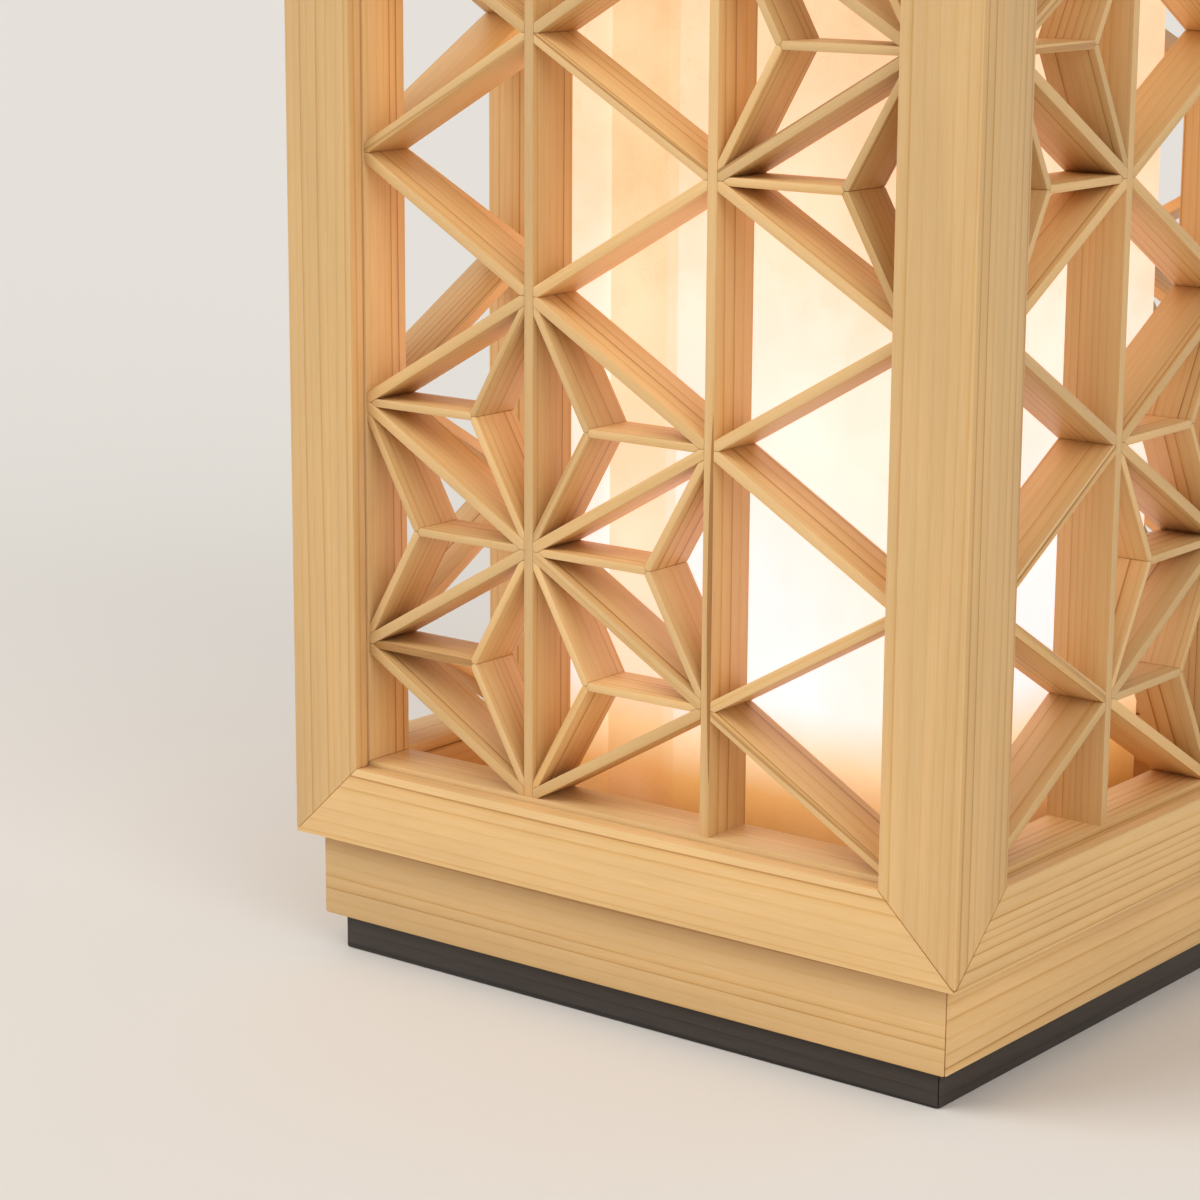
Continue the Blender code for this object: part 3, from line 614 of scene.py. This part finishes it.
# the lines of the drawing die or the press run along the axes that are squeezed
drawnMetal = {"clean": "#C79A4B", "dull": "#9A7030", "roughness": 0.28, "squeeze": (0.05, 0.05, 1)}
platedMetal = {"clean": "#A9ABA8", "dull": "#85888A", "roughness": 0.34, "squeeze": (1, 0.05, 1)}
moulding = {"tone": (0.8, 1.25), "roughSpread": 0.06, "reliefStrength": 0.3}
metalwork = {"line": 0.35 * mm, "mottle": 2.5 * mm, "dullTo": 0.12, "cleanFrom": 0.4,
             "roughSpan": (0.1, 0.45), "dullRoughness": 0.1}
bulbGlass = {"glass": "#D2C9B8", "glow": "#FFDCA6", "frost": 0.5 * mm, "milk": (0.92, 1.04), "lit": 0.65}


def mouldedSkin(name, look):
    # a moulded resin or rubber: one dark colour that clouds a little, with the fine skin of the mould
    material, tree, shader = newMaterial(name, IOR=1.5)
    place = addNode(tree, "TexCoord").outputs["Object"]
    skin = addNode(tree, "TexNoise", {"Vector": place, "Scale": 1 / look["grit"], "Detail": 3.0})
    dull, fair = moulding["tone"]
    shade = addNode(tree, "MapRange", {0: skin.outputs["Fac"], **noiseSpan, 3: dull, 4: fair})
    colour = addNode(tree, "HueSaturation", {"Color": srgb(look["colour"]), "Value": shade.outputs[0]})
    tree.links.new(colour.outputs[0], shader.inputs["Base Color"])
    smooth = look["roughness"] - moulding["roughSpread"]
    coarse = look["roughness"] + moulding["roughSpread"]
    rough = addNode(tree, "MapRange", {0: skin.outputs["Fac"], 3: smooth, 4: coarse})
    tree.links.new(rough.outputs[0], shader.inputs["Roughness"])
    bump = addNode(tree, "Bump", {"Strength": moulding["reliefStrength"], "Distance": look["relief"],
                                  "Height": skin.outputs["Fac"]})
    tree.links.new(bump.outputs[0], shader.inputs["Normal"])
    return material


def workedMetal(name, look):
    # drawn brass keeps fine lines round the piece, plated steel clouds where the bath left it dull
    material, tree, shader = newMaterial(name, Metallic=1.0)
    place = addNode(tree, "TexCoord").outputs["Object"]
    pressed = addNode(tree, "VectorMath", {0: place, 1: look["squeeze"]}, operation="MULTIPLY").outputs[0]
    lines = addNode(tree, "TexNoise", {"Vector": pressed, "Scale": 1 / metalwork["line"], "Detail": 2.0})
    cloud = addNode(tree, "TexNoise", {"Vector": place, "Scale": 1 / metalwork["mottle"], "Detail": 4.0})
    mixed = addNode(tree, "Math", {0: lines.outputs["Fac"], 1: cloud.outputs["Fac"]}, operation="MULTIPLY")
    colour = addNode(tree, "ValToRGB", {0: mixed.outputs[0]}, stops=[
        (metalwork["dullTo"], srgb(look["dull"])), (metalwork["cleanFrom"], srgb(look["clean"]))])
    tree.links.new(colour.outputs[0], shader.inputs["Base Color"])
    low, high = metalwork["roughSpan"]
    rough = addNode(tree, "MapRange", {0: mixed.outputs[0], 1: low, 2: high,
                                       3: look["roughness"] + metalwork["dullRoughness"],
                                       4: look["roughness"]})
    tree.links.new(rough.outputs[0], shader.inputs["Roughness"])
    return material


def frostedGlass():
    # a bulb frosted inside: a milky skin with fine grain that the filament's light fills evenly
    material, tree, shader = newMaterial("frostedBulbGlass", Roughness=0.3, IOR=1.5)
    place = addNode(tree, "TexCoord").outputs["Object"]
    frost = addNode(tree, "TexNoise", {"Vector": place, "Scale": 1 / bulbGlass["frost"], "Detail": 3.0})
    thin, thick = bulbGlass["milk"]
    milk = addNode(tree, "MapRange", {0: frost.outputs["Fac"], 3: thin, 4: thick})
    colour = addNode(tree, "HueSaturation", {"Color": srgb(bulbGlass["glass"]), "Value": milk.outputs[0]})
    tree.links.new(colour.outputs[0], shader.inputs["Base Color"])
    glow = addNode(tree, "HueSaturation", {"Color": srgb(bulbGlass["glow"]), "Value": milk.outputs[0]})
    tree.links.new(glow.outputs[0], shader.inputs["Emission Color"])
    shader.inputs["Emission Strength"].default_value = bulbGlass["lit"]
    return material


phenolic = mouldedSkin("mouldedPhenolic", phenolicResin)
rubber = mouldedSkin("mouldedRubber", blackRubber)
brass = workedMetal("drawnBrass", drawnMetal)
zinc = workedMetal("zincPlatedSteel", platedMetal)

fittings = {
    "arrisFrom": 40,  # degrees, above the facets of a round
    "crispFrom": 32,
    "arrises": {"lamp_holder": 0.4 * mm, "centre_contact": 0.15 * mm, "holder_bracket": 0.2 * mm,
                "cord_grommet": 0.3 * mm, "bulb_cap": 0.2 * mm},
    "bulbRim": 0.5 * mm,
}


def dressFitting(node, name, material, body, slot, whole=True):
    piece = fromNode(node, name, whole)
    if node in fittings["arrises"]:
        roundArrises(piece, fittings["arrises"][node], fittings["arrisFrom"])
    softShade(piece, fittings["crispFrom"])
    finishPiece(piece, material, body, slot, node)
    return piece


dressFitting("lamp_holder", "moulded_lamp_holder", phenolic, "base", "phenolic")
dressFitting("screw_shell", "drawn_screw_shell", brass, "base", "brass")
dressFitting("centre_contact", "pressed_centre_contact", brass, "base", "brass")
dressFitting("holder_bracket", "pressed_holder_bracket", zinc, "base", "steel")
dressFitting("cord_grommet", "moulded_cord_grommet", rubber, "base", "rubber")
dressFitting("bulb_cap", "drawn_bulb_cap", brass, "bulb", "brass")
bulb = dressFitting("bulb_glass", "frosted_bulb", frostedGlass(), "bulb", "bulb_glass", whole=False)
# a blown round with no facets, and a neck that keeps its rim
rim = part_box("bulb_glass")[0].z + fittings["bulbRim"]
pickEdges(bulb, lambda a, b: max(a.z, b.z) < rim)
bpy.ops.transform.edge_crease(value=1)
editDone()
applyModifier(bulb, "SUBSURF", levels=1, render_levels=1)


screwHead = {
    "slotReach": 3.2 * mm,
    "slotWidth": 0.7 * mm,
    "slotDepth": 0.9 * mm,
    "turns": {"left": 25, "right": 68},  # where each screw came to rest
}


def crossSlot(piece, middle, top, turn):
    # two slots sunk from above, one across the other
    for quarter in (0, 90):
        bpy.ops.object.select_all(action="DESELECT")
        bpy.ops.mesh.primitive_cube_add(size=1, location=(middle.x, middle.y, top),
                                        rotation=(0, 0, math.radians(turn + quarter)))
        cutter = bpy.context.object
        cutter.scale = (screwHead["slotReach"], screwHead["slotWidth"], 2 * screwHead["slotDepth"])
        bpy.ops.object.transform_apply(location=True, rotation=True, scale=True)
        applyModifier(piece, "BOOLEAN", object=cutter, operation="DIFFERENCE", solver="EXACT")
        bpy.data.objects.remove(cutter, do_unlink=True)


for side, turn in screwHead["turns"].items():
    screw = dressFitting(f"bracket_screw_{side}", f"wood_screw_{side}", zinc, "base", "steel")
    low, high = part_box(f"bracket_screw_{side}")
    crossSlot(screw, (low + high) / 2, high.z, turn)
    softShade(screw, fittings["crispFrom"])
print("lamp holder and bulb dressed")


studio = {
    "photoSize": 1200,
    "focalPixels": 3298.7,
    "sensor": 36.0,
    "cameraAt": (349.23 * mm, -521.94 * mm, 210.39 * mm),
    "yaw": 38.044,
    "tilt": 12.878,
    "roll": 0.325,
    "floor": "#E6E2DC",
    "floorReach": 12.0,
    "room": "#FFFDFA",
    "roomLight": 0.55,
    "backdrop": 0.74,
    "softness": 38,  # degrees across each softbox, as the lamp sees it
    "keyAt": (-1.2, -1.6, 2.0),
    "key": 1.35,
    "fillAt": (2.0, -1.0, 1.3),
    "fill": 0.8,
}


def placeCamera():
    yaw, tilt, roll = (math.radians(studio[key]) for key in ("yaw", "tilt", "roll"))
    level = math.cos(tilt)
    ahead = Vector((-math.sin(yaw) * level, math.cos(yaw) * level, -math.sin(tilt)))
    right = Vector((math.cos(yaw), math.sin(yaw), 0))
    up = right.cross(ahead)
    across = right * math.cos(roll) + up * math.sin(roll)
    upright = up * math.cos(roll) - right * math.sin(roll)
    lens = bpy.data.cameras.new("photoCamera")
    lens.sensor_width = studio["sensor"]
    lens.lens = studio["focalPixels"] / studio["photoSize"] * studio["sensor"]
    camera = bpy.data.objects.new("photoCamera", lens)
    bpy.context.scene.collection.objects.link(camera)
    turn = Matrix((across, upright, -ahead)).transposed().to_4x4()
    camera.matrix_world = Matrix.Translation(studio["cameraAt"]) @ turn
    bpy.context.scene.camera = camera


def softLight(name, at, strength):
    # a far, wide softbox: even over the whole floor, with soft shadows
    light = bpy.data.lights.new(name, "SUN")
    light.angle = math.radians(studio["softness"])
    light.energy = strength
    lamp = bpy.data.objects.new(name, light)
    bpy.context.scene.collection.objects.link(lamp)
    lamp.location = at
    lamp.rotation_euler = (-Vector(at)).to_track_quat("-Z", "Y").to_euler()


def layFloor():
    bpy.ops.object.select_all(action="DESELECT")
    bpy.ops.mesh.primitive_plane_add(size=2 * studio["floorReach"], location=(0, 0, 0))
    floor = bpy.context.object
    floor.name = "studio_floor"
    paper = newMaterial("mattPaperFloor", Base_Color=srgb(studio["floor"]), Roughness=0.9)[0]
    floor.data.materials.append(paper)


def fillStudio():
    world = bpy.data.worlds.new("studioWorld")
    bpy.context.scene.world = world
    world.use_nodes = True
    tree = world.node_tree
    # light from all round; the eye, gloss and glass see the same pale backdrop beyond the floor
    rays = addNode(tree, "LightPath")
    seen = addNode(tree, "Math", {0: rays.outputs["Is Camera Ray"], 1: rays.outputs["Is Glossy Ray"]},
                   operation="MAXIMUM")
    shown = addNode(tree, "Math", {0: seen.outputs[0], 1: rays.outputs["Is Transmission Ray"]},
                    operation="MAXIMUM")
    strength = addNode(tree, "MapRange", {0: shown.outputs[0],
                                          3: studio["roomLight"], 4: studio["backdrop"]})
    tree.nodes["Background"].inputs["Color"].default_value = srgb(studio["room"])
    tree.links.new(strength.outputs[0], tree.nodes["Background"].inputs["Strength"])
    softLight("keySoftbox", studio["keyAt"], studio["key"])
    softLight("fillSoftbox", studio["fillAt"], studio["fill"])


placeCamera()
layFloor()
fillStudio()
bpy.context.scene.view_settings.view_transform = "Standard"
print("camera and studio set")
